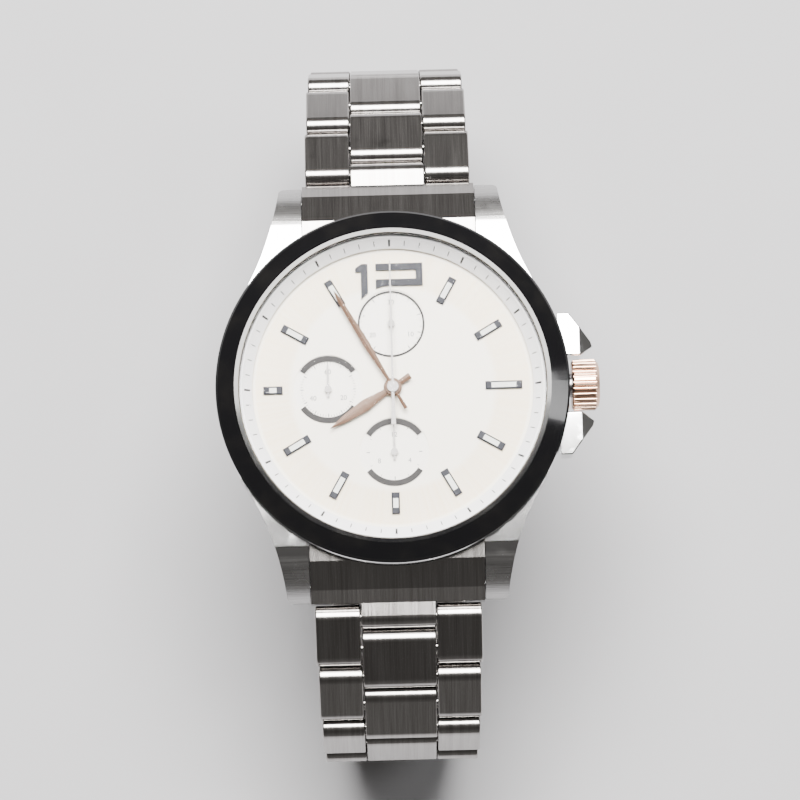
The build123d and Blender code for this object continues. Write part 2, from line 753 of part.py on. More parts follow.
def clasp_cover():
    """Folded channel: a flat floor with lifted ends, and side walls that run on as ears to the bracelet."""
    low, high = COVER_FLOOR_Z
    tail = -20.3
    under = [(tail, low + 0.7), (-16, low), (15.5, low), (19.3, low + 0.7)]
    floor_outline = corners(*under, (19.3, high + 0.35), (15.5, high), (-16, high), (tail, high + 0.35))
    floor = side_shape(floor_outline, -CLASP_HALF_OUT, CLASP_HALF_OUT)
    ear = [(END_Y + 1.6, -35.2), (END_Y + 1.9, -33.7), (END_Y + 1.4, -32.4)]
    wall_top = [(18, -32.0), (-16, -32.4), (tail, -34.0)]
    wall = side_shape(corners(*under, *ear, *wall_top), CLASP_HALF_IN, CLASP_HALF_OUT)
    cover = joined([floor, wall, mirror(wall, Plane.YZ)])
    rims = [e for e in cover.edges() if abs(abs(e.center().X) - CLASP_HALF_OUT) < 1e-6 and e.length > 3]
    cover = eased(cover, [e for e in rims if e.center().Z < high], 0.4)
    for y in (-13.6, -12.6, -11.6, 11.6, 12.6, 13.6):
        cover = cover - block(-8.3, 8.3, y - 0.2, y + 0.2, low - 1, low + 0.15)
    cover = cover - rod_x(0.55, -15, 15, END_Y, END_Z)
    for k in range(1, 3):
        cover = cover - rod_x(0.45, -15, 15, END_Y - 2.4 * k, END_Z)
    for hand in (1, -1):
        x0, x1 = sorted((hand * (CLASP_HALF_IN - 0.3), hand * (CLASP_HALF_OUT + 0.3)))
        slot = block(x0, x1, BUTTON_Y[0] - 0.08, BUTTON_Y[1] + 0.08, BUTTON_Z[0] - 0.08, BUTTON_Z[1] + 0.08)
        cover = cover - slot
    cover = cover - rod_x(FOLD_PIN_R + 0.02, -15, 15, COVER_HINGE_Y, COVER_HINGE_Z)
    pin = rod_x(FOLD_PIN_R, -CLASP_HALF_OUT + 0.1, CLASP_HALF_OUT - 0.1, COVER_HINGE_Y, COVER_HINGE_Z)
    return [cover, pin]


def blade_outer():
    """Outer blade: from the fold to the cover's hinge, with the fold's pin."""
    half = BLADE_W / 2
    t = BLADE_T / 2
    plate = block(-half, half, COVER_HINGE_Y + 0.6, FOLD_Y - 0.2, BLADE_OUT_Z - t, BLADE_OUT_Z + t)
    window = block(-half + 2.6, half - 2.6, -11, 8, BLADE_OUT_Z - 1, BLADE_OUT_Z + 1)
    plate = plate - window
    for x0, x1 in ((-half - 1, -2.4), (2.4, half + 1)):
        plate = plate - rod_x(KNUCKLE_R + 0.15, x0, x1, FOLD_Y, FOLD_Z)
    middle = rod_x(KNUCKLE_R, -2.4, 2.4, FOLD_Y, FOLD_Z)
    foot = rod_x(0.85, -half, half, COVER_HINGE_Y, COVER_HINGE_Z)
    body = joined([plate, middle, foot])
    body = body - rod_x(FOLD_PIN_R + RUN, -15, 15, COVER_HINGE_Y, COVER_HINGE_Z)
    body = body - rod_x(FOLD_PIN_R + 0.01, -15, 15, FOLD_Y, FOLD_Z)
    pin = rod_x(FOLD_PIN_R, -half + 0.1, half - 0.1, FOLD_Y, FOLD_Z)
    return [body, pin]


def blade_inner():
    """Inner blade: from the last link's hinge to the fold, with two eyes at each end."""
    half = BLADE_W / 2
    t = BLADE_T / 2
    notch = LAST_CENTRE / 2 + SIDE_GAP
    plate = block(-half, half, -END_Y + 0.4, FOLD_Y - 0.2, BLADE_IN_Z - t, BLADE_IN_Z + t)
    plate = plate - block(-notch, notch, -END_Y - 3, -END_Y + 1.9, -36, -30)
    plate = plate - block(-3.0, 3.0, -14, 9, -36, -30)
    plate = plate - block(-2.5, 2.5, FOLD_Y - 1.5, FOLD_Y + 2, -36, -30)
    eyes = []
    for hand in (1, -1):
        eyes.append(rod_x(1.1, *sorted((hand * notch, hand * half)), -END_Y, END_Z))
        eyes.append(rod_x(KNUCKLE_R, *sorted((hand * 2.5, hand * half)), FOLD_Y, FOLD_Z))
    body = joined([plate, *eyes])
    body = body - rod_x(PIN_R + 0.01, -15, 15, -END_Y, END_Z)
    body = body - rod_x(FOLD_PIN_R + RUN, -15, 15, FOLD_Y, FOLD_Z)
    pin = rod_x(PIN_R, -half + 0.1, half - 0.1, -END_Y, END_Z)
    return [body, pin]


def clasp_button(hand):
    """Side button with an inner shoulder that keeps it in the wall."""
    y0, y1 = BUTTON_Y
    z0, z1 = BUTTON_Z
    face = block(CLASP_HALF_IN - 0.05, CLASP_HALF_OUT + 0.75, y0, y1, z0, z1)
    face = eased(face, [e for e in face.edges() if e.center().X > CLASP_HALF_OUT + 0.7], 0.2)
    shoulder = block(CLASP_HALF_IN - 0.75, CLASP_HALF_IN - 0.05, y0 - 0.5, y1 + 0.5, z0 - 0.3, z1 + 0.3)
    button = face + shoulder
    return button if hand > 0 else mirror(button, Plane.YZ)


# ---------------------------------------------------------------- assembly


def build():
    node("case_middle", case_middle())
    node("bezel", bezel())
    node("crystal", crystal())
    node("crystal_gasket", ring(19.5, CRYSTAL_R + 0.02, CRYSTAL_Z[0], NECK_TOP_Z + 0.2))
    node("rehaut_ring", rehaut_ring())
    node("case_back", case_back())
    node("case_back_gasket", ring(19.6, 18.7, BACK_FLANGE_Z, 1.95))
    node("dial", dial())
    node("hour_markers", *[hour_marker(h) for h in range(1, 12)])
    node("marker_fillings", *[clock_turn(30 * h) * marker_filling(h) for h in range(1, 12)])
    node("numeral_twelve", *numeral_twelve())
    node("counter_arcs", *counter_arcs())
    node("hour_hand", hour_hand())
    node("minute_hand", minute_hand())
    node("chronograph_hand", chronograph_hand())
    node("minute_counter_hand", small_hand("twelve", 0))
    node("small_seconds_hand", small_hand("nine", 0))
    node("hour_counter_hand", small_hand("six", 0))
    node("movement_ring", movement_ring())
    node("main_plate", main_plate())
    node("train_bridge", train_bridge())
    node("balance_cock", balance_cock())
    node("bridge_screws", *[bridge_screw(at) for at in SCREWS_AT])
    node("mainspring_barrel", mainspring_barrel())
    node("balance_wheel", balance_wheel())
    node("hairspring", hairspring())
    node("winding_rotor", rotor())
    node("cannon_pinion", cannon_pinion())
    node("minute_wheel", minute_wheel())
    node("hour_wheel", hour_wheel())
    node("setting_lever", setting_lever())
    node("winding_stem", winding_stem())
    node("crown", crown())
    node("crown_tube", crown_tube())
    for name, side in (("top", 1), ("bottom", -1)):
        node(f"pusher_{name}", pusher(side))
        node(f"pusher_spring_{name}", pusher_spring(side))
    node("lug_spring_bars", lug_spring_bar(1), lug_spring_bar(-1))
    for name, side in (("12", 1), ("6", -1)):
        node(f"end_link_{name}", end_link(side))
        for i in range(LINKS):
            node(f"link_{name}_{i + 1}", *link_solids(i, side))
    bar_half = share(FIRST_WIDTH, LAST_WIDTH, LINKS) / 2 - 0.15
    nodes[f"link_12_{LINKS}"].append(rod_x(CLASP_BAR_R, -bar_half, bar_half, END_Y, END_Z))
    node("clasp_cover", *clasp_cover())
    node("clasp_blade_outer", *blade_outer())
    node("clasp_blade_inner", *blade_inner())
    node("clasp_button_right", clasp_button(1))
    node("clasp_button_left", clasp_button(-1))


def write():
    os.makedirs("parts", exist_ok=True)
    for name, solids in nodes.items():
        whole = solids[0] if len(solids) == 1 else Compound(children=solids)
        export_step(whole, f"parts/{name}.step")


build()
write()
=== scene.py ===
import math

import bpy
from mathutils import Matrix, Vector


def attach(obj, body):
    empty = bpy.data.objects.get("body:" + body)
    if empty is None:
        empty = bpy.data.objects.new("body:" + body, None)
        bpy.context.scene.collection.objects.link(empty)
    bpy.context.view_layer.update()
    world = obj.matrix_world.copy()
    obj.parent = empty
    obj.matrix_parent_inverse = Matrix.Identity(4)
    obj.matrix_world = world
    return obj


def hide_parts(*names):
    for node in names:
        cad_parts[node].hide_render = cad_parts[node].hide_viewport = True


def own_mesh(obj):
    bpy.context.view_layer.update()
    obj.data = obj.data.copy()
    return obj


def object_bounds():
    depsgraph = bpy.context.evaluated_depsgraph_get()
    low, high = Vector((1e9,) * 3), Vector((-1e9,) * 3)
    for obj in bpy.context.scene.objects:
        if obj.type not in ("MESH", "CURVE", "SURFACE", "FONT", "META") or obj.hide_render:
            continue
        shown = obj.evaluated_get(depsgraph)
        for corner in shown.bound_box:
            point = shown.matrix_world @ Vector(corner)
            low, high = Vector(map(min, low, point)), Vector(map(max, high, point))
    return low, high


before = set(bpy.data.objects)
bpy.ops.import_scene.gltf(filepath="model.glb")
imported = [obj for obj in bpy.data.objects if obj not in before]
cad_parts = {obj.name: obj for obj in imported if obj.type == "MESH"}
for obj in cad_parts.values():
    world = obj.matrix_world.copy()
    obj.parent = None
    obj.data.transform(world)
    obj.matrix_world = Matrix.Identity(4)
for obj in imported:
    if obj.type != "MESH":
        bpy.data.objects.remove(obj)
cad_box = [list(corner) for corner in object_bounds()]
bpy.ops.object.select_all(action="DESELECT")

# ---------------------------------------------------------------- case band and lugs
# The case is one piece of stainless steel, turned and milled. Its lug tops and edges are mirror
# polished. The flank keeps the fine lines of a brush held against it as it turned; its colour is
# also painted much darker than the tops, a painted shade on the sides.

MM = 0.001


class Wire:
    """An output of a shader node. Sums and products of wires add Math nodes."""

    def __init__(self, tree, socket):
        self.tree = tree
        self.socket = socket

    def node(self, kind, settings, inputs, output=0):
        """A further node in the same tree, with a value or a wire for each named socket."""
        made = self.tree.nodes.new(kind)
        for key, value in settings.items():
            setattr(made, key, value)
        for key, value in inputs.items():
            if isinstance(value, Wire):
                self.tree.links.new(value.socket, made.inputs[key])
            else:
                made.inputs[key].default_value = value
        return Wire(self.tree, made.outputs[output])

    def maths(self, operation, first, second=0.0):
        return self.node("ShaderNodeMath", {"operation": operation}, {0: first, 1: second})

    def __add__(self, other):
        return self.maths("ADD", self, other)

    def __radd__(self, other):
        return self.maths("ADD", other, self)

    def __sub__(self, other):
        return self.maths("SUBTRACT", self, other)

    def __rsub__(self, other):
        return self.maths("SUBTRACT", other, self)

    def __mul__(self, other):
        return self.maths("MULTIPLY", self, other)

    def __truediv__(self, other):
        return self.maths("DIVIDE", self, other)

    def step(self, low, high):
        """0 below low and 1 above high, eased in between."""
        return self.node(
            "ShaderNodeMapRange",
            {"interpolation_type": "SMOOTHSTEP"},
            {"Value": self, "From Min": low, "From Max": high},
        )

    def parts(self):
        """The X, Y and Z of a vector."""
        split = self.tree.nodes.new("ShaderNodeSeparateXYZ")
        self.tree.links.new(self.socket, split.inputs[0])
        return [Wire(self.tree, output) for output in split.outputs]

    def stretched(self, x, y, z, shift=(0, 0, 0)):
        """This place with each axis scaled, so that a noise read there has long streaks."""
        inputs = {"Vector": self, "Scale": (x, y, z), "Location": shift}
        return self.node("ShaderNodeMapping", {}, inputs)

    def noise(self, scale=1.0, detail=3.0):
        inputs = {"Vector": self, "Scale": scale, "Detail": detail}
        return self.node("ShaderNodeTexNoise", {}, inputs)

    def blended(self, first, second):
        """The first colour where this is 0 and the second where it is 1."""
        colours = []
        for colour in (first, second):
            colours.append(colour if isinstance(colour, Wire) else (*colour, 1.0))
        inputs = {0: self, 6: colours[0], 7: colours[1]}
        return self.node("ShaderNodeMix", {"data_type": "RGBA"}, inputs, 2)


def new_finish(name, **numbers):
    """A material, its shader with those numbers set, and a wire with the place on the piece."""
    material = bpy.data.materials.new(name)
    material.use_nodes = True
    tree = material.node_tree
    shader = tree.nodes["Principled BSDF"]
    for key, value in numbers.items():
        shader.inputs[key.replace("_", " ")].default_value = value
    place = Wire(tree, tree.nodes.new("ShaderNodeTexCoord").outputs["Object"])
    return material, shader, place


def feed(shader, **wires):
    """Links a wire to each named socket of a shader."""
    for key, wire in wires.items():
        wire.tree.links.new(wire.socket, shader.inputs[key.replace("_", " ")])


def relief(height, strength, depth_mm):
    """A bumped normal from a height that runs from 0 to 1 over that depth."""
    settings = {"Height": height, "Strength": strength, "Distance": depth_mm * MM}
    return height.node("ShaderNodeBump", {}, settings)


def dress(material, *nodes):
    """Gives CAD nodes their finish."""
    for node in nodes:
        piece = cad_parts[node]
        if not piece.material_slots:
            piece.data.materials.append(None)
        for slot in piece.material_slots:
            slot.material = material


def polar(place, at=(0.0, 0.0)):
    """Distance from an upright axis at that point, flat place about it and height, all in mm."""
    x, y, z = place.parts()
    x = (x - at[0] * MM) / MM
    y = (y - at[1] * MM) / MM
    flat = place.node("ShaderNodeCombineXYZ", {}, {0: x, 1: y})
    radius = place.node("ShaderNodeVectorMath", {"operation": "LENGTH"}, {0: flat}, "Value")
    return radius, flat, z / MM


case_steel, shader, place = new_finish("case_steel", Metallic=1.0)
radius, flat, height = polar(place)
drift = flat.noise(0.05, 1.0)
stretch = {0: radius * 0.25, 1: height * 14.0, 2: drift * 3.0}
lines = place.node("ShaderNodeCombineXYZ", {}, stretch).noise(1.0, 3.0)
wear = place.noise(420.0, 4.0)
flank = (1.0 - height.step(7.3, 7.6)) * height.step(1.2, 1.6)
# Flank colour: real brush lines plus a painted shade that makes it far darker than the polished
# tops.
brush_lines_and_painted_shade = flank * (0.6 + lines.step(0.25, 0.75) * 0.4)
feed(
    shader,
    Base_Color=brush_lines_and_painted_shade.blended((0.80, 0.80, 0.81), (0.33, 0.325, 0.32)),
    Roughness=0.09 + flank * 0.17 + wear.step(0.5, 0.8) * 0.05,
    Normal=relief(lines * flank, 0.5, 0.03),
)
dress(case_steel, "case_middle")

# ---------------------------------------------------------------- bezel
# A glossy black ring pressed over the case's neck: ceramic, flat on its slope, with a fine
# rounded edge inside and out that catches the light.

bezel_black, shader, place = new_finish(
    "bezel_black", Coat_Weight=0.45, Coat_Roughness=0.03, Specular_IOR_Level=0.35
)
smudge = place.stretched(260, 260, 260).noise(1.0, 5.0)
specks = place.noise(2600.0, 1.0)
feed(
    shader,
    Base_Color=smudge.step(0.4, 0.75).blended((0.003, 0.003, 0.0035), (0.005, 0.0048, 0.0048)),
    Roughness=0.09 + smudge.step(0.45, 0.8) * 0.03,
    Normal=relief(specks, 0.03, 0.004),
)
dress(bezel_black, "bezel")

# ---------------------------------------------------------------- crystal and gaskets
# A flat mineral crystal, clear, with a bevel round its rim. A black rubber ring holds it in the
# neck, and another seals the case back.

crystal_clear, shader, place = new_finish(
    "crystal_clear", Base_Color=(1.0, 1.0, 1.0, 1.0), IOR=1.12, Transmission_Weight=1.0
)
radius = polar(place)[0]
bevelled = radius.step(18.8, 19.1)
fingerprint = place.noise(900.0, 3.0)
feed(shader, Roughness=fingerprint.step(0.62, 0.85) * 0.02, Alpha=0.08 + bevelled * 0.15)
dress(crystal_clear, "crystal")

gasket_rubber, shader, place = new_finish("gasket_rubber", Specular_IOR_Level=0.3)
grain = place.noise(3000.0, 2.0)
feed(
    shader,
    Base_Color=grain.blended((0.012, 0.012, 0.012), (0.03, 0.03, 0.03)),
    Roughness=0.6 + grain * 0.2,
    Normal=relief(grain, 0.2, 0.01),
)
dress(gasket_rubber, "crystal_gasket", "case_back_gasket")

# ---------------------------------------------------------------- sloping ring round the dial
# A white lacquered ring leans in from the crystal to the dial and carries the minute track:
# sixty fine printed strokes, thicker at every fifth.


def mottled(name, noise, colours, rough, **numbers):
    """A finish whose colour and roughness drift together between two values each."""
    material, shader, place = new_finish(name, **numbers)
    drift = place.noise(*noise)
    least, most = rough
    feed(shader, Base_Color=drift.blended(*colours), Roughness=least + drift * (most - least))
    return material


ring_colours = (0.90, 0.90, 0.93), (0.95, 0.95, 0.96)
ring_white = mottled(
    "ring_white", (700.0, 3.0), ring_colours, (0.38, 0.48), Coat_Weight=0.3, Coat_Roughness=0.2
)
dress(ring_white, "rehaut_ring")

ink_colours = (0.030, 0.030, 0.033), (0.055, 0.054, 0.056)
print_grey = mottled(
    "print_grey", (2600.0, 2.0), ink_colours, (0.42, 0.57), Specular_IOR_Level=0.15
)


def settle(piece, body, material):
    """Puts a finished piece's place in its mesh, gives it its material and fixes it to its body."""
    bpy.ops.object.select_all(action="DESELECT")
    piece.select_set(True)
    bpy.context.view_layer.objects.active = piece
    bpy.ops.object.transform_apply(location=True, rotation=True, scale=True)
    piece.data.materials.clear()
    piece.data.materials.append(material)
    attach(piece, body)
    piece.select_set(False)
    return piece


def stroke(length, wide, thick, taper):
    """A printed stroke along +Y from the origin, narrower at its inner end and chamfered on top."""
    bpy.ops.object.select_all(action="DESELECT")
    bpy.ops.mesh.primitive_cube_add(size=1, location=(0, length * MM / 2, 0))
    piece = bpy.context.object
    piece.scale = (wide * MM, length * MM, thick * MM)
    bpy.ops.object.transform_apply(location=True, rotation=True, scale=True)
    for vertex in piece.data.vertices:
        if vertex.co.y < length * MM / 2:
            vertex.co.x *= taper
        if vertex.co.z > 0:
            vertex.co.x *= 0.9
    return piece


def round_about(model, angles, at, out, z, lean, name):
    """Copies of a stroke set round a point, each pushed out and leaned, joined as one piece."""
    copies = []
    for angle in angles:
        copy = model.copy()
        copy.data = model.data.copy()
        bpy.context.scene.collection.objects.link(copy)
        centre = Matrix.Translation((at[0] * MM, at[1] * MM, 0))
        turn = Matrix.Rotation(math.radians(-angle), 4, "Z")
        pushed = Matrix.Translation((0, out * MM, z * MM))
        leaned = Matrix.Rotation(math.radians(lean), 4, "X")
        copy.data.transform(centre @ turn @ pushed @ leaned)
        copies.append(copy)
    bpy.data.objects.remove(model)
    return fused(copies, name)


def fused(copies, name):
    """Several mesh objects joined as one of that name."""
    bpy.ops.object.select_all(action="DESELECT")
    for copy in copies:
        copy.select_set(True)
    bpy.context.view_layer.objects.active = copies[0]
    bpy.ops.object.join()
    copies[0].name = name
    copies[0].data.name = name
    return copies[0]


ring_rise, ring_run = 1.23, 1.2
slope = math.degrees(math.atan2(ring_rise, ring_run))
minutes = [6 * k for k in range(60) if k % 5]
hours = [30 * k for k in range(12)]
thin = stroke(length=0.75, wide=0.13, thick=0.02, taper=0.8)
thick = stroke(length=1.05, wide=0.30, thick=0.02, taper=0.8)
minor = round_about(thin, minutes, (0, 0), out=17.93, z=8.115, lean=slope, name="minor_strokes")
major = round_about(thick, hours, (0, 0), out=17.82, z=8.0, lean=slope, name="major_strokes")
settle(fused([minor, major], "minute_track"), "case", print_grey)

# ---------------------------------------------------------------- dial
# A brass disc sprayed warm white and polished flat, creamier where the hour markers stand. Paler
# streaks along rays from its centre are a painted sheen.
# The three counters are sunk and turned with fine rings that shimmer as the light moves.

COUNTERS = {"twelve": (0.0, 8.1), "nine": (-8.1, 0.0), "six": (0.0, -8.1)}
COUNTER_RADIUS = 4.32
GROOVE_PITCH = 0.16

dial_white, shader, place = new_finish("dial_white", Coat_Weight=0.25, Coat_Roughness=0.12)
radius, flat, _ = polar(place)
direction = place.node("ShaderNodeVectorMath", {"operation": "NORMALIZE"}, {0: flat})
rays = direction.noise(34.0, 3.0)
grain = place.noise(3800.0, 2.0)
inside = []
ripples = []
for centre in COUNTERS.values():
    away = polar(place, centre)[0]
    inside.append(1.0 - away.step(COUNTER_RADIUS - 0.04, COUNTER_RADIUS + 0.04))
    ripples.append(away.maths("SINE", away * (2 * math.pi / GROOVE_PITCH)) * inside[-1])
in_counter = inside[0] + inside[1] + inside[2]
grooves = ripples[0] + ripples[1] + ripples[2]
band = radius.step(12.4, 13.4) * (1.0 - radius.step(17.0, 17.4))
# Paler cream along rays from the centre is a painted sheen, not a tone of the dial.
painted_sheen = rays.step(0.3, 0.7) * 0.35
creamy = band.blended((0.98, 0.92, 0.80), (0.92, 0.79, 0.58))
cream_and_painted_sheen = painted_sheen.blended(creamy, (0.99, 0.94, 0.84))
feed(
    shader,
    Base_Color=in_counter.blended(cream_and_painted_sheen, (0.95, 0.91, 0.84)),
    Roughness=0.40 + rays * 0.1 - in_counter * 0.1,
    Normal=relief(grooves * 0.5 + grain * 0.1, 0.25, 0.012),
)
dress(dial_white, "dial")

# ---------------------------------------------------------------- hour markers and numeral
# Batons stamped from dark plated metal, riveted through the dial, each with a sunk pale
# filling. The figure at twelve is stamped from the same sheet and cut round the counter.

plating_colours = (0.020, 0.021, 0.028), (0.037, 0.039, 0.049)
marker_dark = mottled(
    "marker_dark", (900.0, 2.0), plating_colours, (0.3, 0.4), Specular_IOR_Level=0.12
)
dress(marker_dark, "hour_markers", "numeral_twelve")

filling_pale, shader, place = new_finish("filling_pale")
powder = place.noise(5200.0, 3.0)
feed(
    shader,
    Base_Color=powder.blended((0.74, 0.76, 0.72), (0.88, 0.89, 0.84)),
    Roughness=0.7 + powder * 0.2,
    Normal=relief(powder, 0.4, 0.01),
)
dress(filling_pale, "marker_fillings")

satin_colours = (0.028, 0.027, 0.028), (0.050, 0.048, 0.048)
arc_satin = mottled(
    "arc_satin", (3200.0, 2.0), satin_colours, (0.38, 0.53), Specular_IOR_Level=0.12
)
dress(arc_satin, "counter_arcs")

# ---------------------------------------------------------------- counter scales
# Each counter has its own printed scale: thirty minutes at twelve, sixty seconds at nine and
# twelve hours at six. Strokes and figures are pad printed in grey.

pale_colours = (0.13, 0.13, 0.14), (0.19, 0.19, 0.20)
pale_grey = mottled(
    "pale_grey", (2600.0, 2.0), pale_colours, (0.45, 0.55), Specular_IOR_Level=0.15
)

SIZE_PER_HEIGHT = 1.4
INK_THICK = 0.008


def figure(text, at, tall, z, name):
    """A small printed number, standing upright on the dial with its middle at that point."""
    bpy.ops.object.text_add(location=(at[0] * MM, at[1] * MM, z * MM))
    label = bpy.context.object
    label.data.body = text
    label.data.size = tall * SIZE_PER_HEIGHT * MM
    label.data.align_x = "CENTER"
    label.data.align_y = "CENTER"
    label.data.extrude = INK_THICK * MM
    label.data.resolution_u = 3
    bpy.ops.object.convert(target="MESH")
    label.name = name
    return label


# divisions, one bold stroke in how many, figures, outer radius and radius of the figures
SCALES = {
    "twelve": (30, 3, ("30", "10", "20"), 3.9, 2.75),
    "nine": (60, 5, ("60", "20", "40"), 3.5, 2.20),
    "six": (12, 3, ("12", "4", "8"), 3.5, 2.20),
}
PRINT_Z = 7.086
FIGURE_Z = 7.088
for counter, (divisions, every, figures, outer, reach) in SCALES.items():
    x, y = COUNTERS[counter]
    fine = [360 / divisions * k for k in range(divisions) if k % every]
    bold = [360 / divisions * k for k in range(divisions) if not k % every]
    short = stroke(length=0.28, wide=0.05, thick=0.012, taper=1.0)
    pieces = [round_about(short, fine, (x, y), outer - 0.3, PRINT_Z, 0, "fine")]
    long = stroke(length=0.42, wide=0.10, thick=0.012, taper=1.0)
    pieces.append(round_about(long, bold, (x, y), outer - 0.44, PRINT_Z, 0, "bold"))
    for k, text in enumerate(figures):
        angle = math.radians(360 / len(figures) * k)
        spot = (x + reach * math.sin(angle), y + reach * math.cos(angle))
        pieces.append(figure(text, spot, 0.62, FIGURE_Z, "figure"))
    settle(fused(pieces, f"counter_scale_{counter}"), "case", pale_grey)

# ---------------------------------------------------------------- hands
# The hour and minute hands are stamped from rose-toned brass, folded to a ridge along the
# middle and polished. The counters' needles and the long seconds needle are grey steel.

rose_colours = (0.105, 0.058, 0.037), (0.15, 0.09, 0.06)
hand_rose = mottled(
    "hand_rose", (1600.0, 3.0), rose_colours, (0.32, 0.46), Metallic=0.12, Specular_IOR_Level=0.25
)


def ridged_hand(name, length, tail, wide, z, thick, ridge, angle, hub):
    """A hand pointing to twelve, ridged along its middle, then turned clockwise to its hour."""
    bpy.ops.object.select_all(action="DESELECT")
    # how far along each row of points stands, and its share of the full width
    rows = [
        (-tail, 0.55),
        (-tail * 0.35, 0.42),
        (0.0, 0.42),
        (length * 0.12, 0.5),
        (length * 0.45, 1.0),
        (length - 1.4 * wide, 0.62),
        (length, 0.04),
    ]
    steps = len(rows) - 1
    bpy.ops.mesh.primitive_grid_add(x_subdivisions=2, y_subdivisions=steps, size=2)
    blade = bpy.context.object
    for vertex in blade.data.vertices:
        row = round((vertex.co.y + 1) / 2 * steps)
        along, share = rows[row]
        side = round(vertex.co.x)
        vertex.co = (side * share * wide / 2 * MM, along * MM, (z + (0 if side else ridge)) * MM)
    bpy.ops.object.mode_set(mode="EDIT")
    bpy.ops.mesh.select_all(action="SELECT")
    bpy.ops.mesh.extrude_region_move(TRANSFORM_OT_translate={"value": (0, 0, thick * MM)})
    bpy.ops.mesh.select_all(action="SELECT")
    bpy.ops.mesh.normals_make_consistent(inside=False)
    bpy.ops.object.mode_set(mode="OBJECT")
    boss_depth = thick * 1.6
    boss_place = (0, 0, (z + boss_depth / 2) * MM)
    bpy.ops.mesh.primitive_cylinder_add(
        vertices=64, radius=hub * MM, depth=boss_depth * MM, location=boss_place
    )
    boss = bpy.context.object
    bpy.ops.object.mode_set(mode="EDIT")
    bpy.ops.mesh.select_all(action="SELECT")
    bpy.ops.mesh.bevel(offset=0.035 * MM, segments=2)
    bpy.ops.object.mode_set(mode="OBJECT")
    hand = fused([blade, boss], name)
    bpy.ops.object.select_all(action="DESELECT")
    hand.select_set(True)
    hand.rotation_euler = (0, 0, math.radians(-angle))
    bpy.ops.object.transform_apply(location=True, rotation=True, scale=True)
    bpy.ops.object.shade_smooth_by_angle(angle=math.radians(20))
    return hand


hour_hand = ridged_hand(
    "hour_hand_ridged",
    length=9.4,
    tail=2.6,
    wide=1.5,
    z=7.78,
    thick=0.10,
    ridge=0.09,
    angle=237.5,
    hub=1.15,
)
settle(hour_hand, "hour_hand", hand_rose)
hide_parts("hour_hand")
minute_hand = ridged_hand(
    "minute_hand_ridged",
    length=14.2,
    tail=3.2,
    wide=0.85,
    z=8.12,
    thick=0.10,
    ridge=0.08,
    angle=330,
    hub=1.0,
)
settle(minute_hand, "minute_hand", hand_rose)
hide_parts("minute_hand")

needle_colours = (0.34, 0.325, 0.32), (0.46, 0.44, 0.435)
needle_grey = mottled(
    "needle_grey", (1600.0, 3.0), needle_colours, (0.22, 0.34), Metallic=0.1, Specular_IOR_Level=0.3
)
dress(needle_grey, "chronograph_hand", "small_seconds_hand")
dress(needle_grey, "minute_counter_hand", "hour_counter_hand")

# ---------------------------------------------------------------- movement
# Nickel-plated plates and bridges, grained and striped, with brass wheels, blued screws and a
# steel balance spring. A pale plastic ring centres the whole in the case.

STRIPE_PITCH = 1.6

plate_nickel, shader, place = new_finish("plate_nickel", Metallic=1.0)
x, y, _ = place.parts()
stripes = place.maths("SINE", (x + y) * (2 * math.pi / (STRIPE_PITCH * MM)))
grain = place.stretched(5000, 700, 700).noise(1.0, 2.0)
feed(
    shader,
    Base_Color=grain.blended((0.60, 0.59, 0.56), (0.72, 0.71, 0.68)),
    Roughness=0.26 + stripes * 0.06 + grain * 0.1,
    Normal=relief(stripes * 0.5 + grain * 0.4, 0.2, 0.01),
)
dress(plate_nickel, "main_plate", "train_bridge", "balance_cock", "setting_lever", "winding_rotor")

brass_colours = (0.66, 0.46, 0.19), (0.78, 0.58, 0.28)
wheel_brass = mottled("wheel_brass", (2400.0, 3.0), brass_colours, (0.2, 0.35), Metallic=1.0)
dress(wheel_brass, "mainspring_barrel", "balance_wheel")
dress(wheel_brass, "cannon_pinion", "minute_wheel", "hour_wheel")

blue_colours = (0.04, 0.07, 0.22), (0.07, 0.12, 0.32)
screw_blue = mottled("screw_blue", (2400.0, 3.0), blue_colours, (0.12, 0.22), Metallic=1.0)
dress(screw_blue, "bridge_screws")

wire_colours = (0.36, 0.36, 0.38), (0.50, 0.50, 0.52)
spring_wire = mottled("spring_wire", (3600.0, 2.0), wire_colours, (0.2, 0.35), Metallic=1.0)
dress(spring_wire, "hairspring", "winding_stem", "crown_tube", "lug_spring_bars")
dress(spring_wire, "pusher_spring_top", "pusher_spring_bottom")

nylon_colours = (0.72, 0.70, 0.64), (0.80, 0.78, 0.73)
ring_nylon = mottled("ring_nylon", (900.0, 3.0), nylon_colours, (0.5, 0.6), Subsurface_Weight=0.1)
dress(ring_nylon, "movement_ring")

# ---------------------------------------------------------------- case back
# A screwed steel back with six key slots. Its rim is polished, and its sunk centre is brushed
# round in circles.

back_steel, shader, place = new_finish("back_steel", Metallic=1.0)
radius, _, height = polar(place)
stretch = {0: radius * 11.0, 1: height * 3.0}
circles = place.node("ShaderNodeCombineXYZ", {}, stretch).noise(1.0, 2.0)
centre = 1.0 - radius.step(12.4, 12.9)
wear = place.noise(380.0, 4.0)
feed(
    shader,
    Base_Color=wear.blended((0.70, 0.70, 0.70), (0.80, 0.80, 0.80)),
    Roughness=0.12 + centre * 0.16 + circles * 0.06 + wear.step(0.55, 0.8) * 0.06,
    Normal=relief(circles, 0.25, 0.01),
)
dress(back_steel, "case_back")

# ---------------------------------------------------------------- crown and pushers
# The crown is turned, fluted and plated in rose tone. The caps either side of it are milled from
# steel and mirror polished. Inside the band, a coiled spring round each cap's stem returns it.

crown_rose, shader, place = new_finish("crown_rose", Metallic=1.0)
rub = place.stretched(600, 2600, 2600).noise(1.0, 3.0)
feed(
    shader,
    Base_Color=rub.blended((0.66, 0.42, 0.30), (0.80, 0.56, 0.42)),
    Roughness=0.17 + rub * 0.12,
)
dress(crown_rose, "crown")

